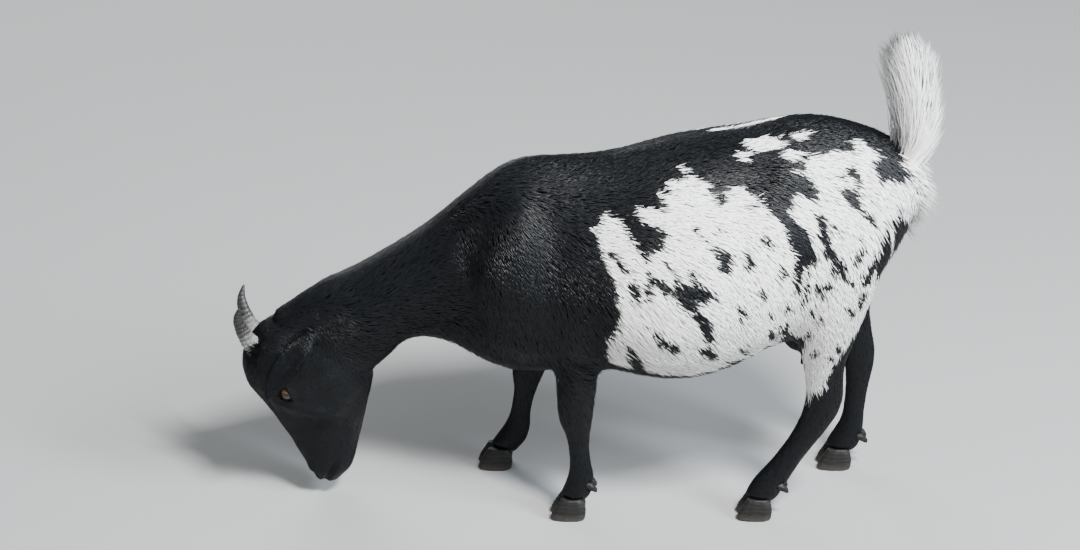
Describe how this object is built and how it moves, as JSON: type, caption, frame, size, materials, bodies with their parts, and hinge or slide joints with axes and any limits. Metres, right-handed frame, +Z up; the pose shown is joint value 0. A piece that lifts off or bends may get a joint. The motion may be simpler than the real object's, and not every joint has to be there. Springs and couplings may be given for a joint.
{
  "type": "goat model",
  "caption": "Still, life-size model of a small pied goat standing and grazing, with its head down, short horns and a raised white tail.",
  "frame": {"origin": "middle of the model's box, on the floor the hooves stand on", "axes": "+X from the nose to the tail, +Y to the goat's right side, +Z up"},
  "size_m": [0.882, 0.3268, 0.62],
  "materials": {
    "coat_black": "short glossy black hair",
    "coat_pied": "short white hair with black patches and spots",
    "coat_white": "long soft white hair",
    "horn": "ridged grey-beige horn with a dark tip",
    "hoof": "dark satin hoof horn",
    "eye": "clear, wet-looking brown eye"
  },
  "bodies": {
    "root": {"head": "coat_black", "neck": "coat_black", "trunk": "coat_pied", "tail": "coat_white", "leg_fore_left": "coat_black", "leg_hind_left": "coat_pied", "ear_left": "coat_black", "horn_left": "horn", "eye_left": "eye", "hoof_fore_left_inner": "hoof", "dewclaw_fore_left_inner": "hoof", "hoof_fore_left_outer": "hoof", "dewclaw_fore_left_outer": "hoof", "hoof_hind_left_inner": "hoof", "dewclaw_hind_left_inner": "hoof", "hoof_hind_left_outer": "hoof", "dewclaw_hind_left_outer": "hoof", "leg_fore_right": "coat_black", "leg_hind_right": "coat_pied", "ear_right": "coat_black", "horn_right": "horn", "eye_right": "eye", "hoof_fore_right_inner": "hoof", "dewclaw_fore_right_inner": "hoof", "hoof_fore_right_outer": "hoof", "dewclaw_fore_right_outer": "hoof", "hoof_hind_right_inner": "hoof", "dewclaw_hind_right_inner": "hoof", "hoof_hind_right_outer": "hoof", "dewclaw_hind_right_outer": "hoof"}
  },
  "joints": []
}
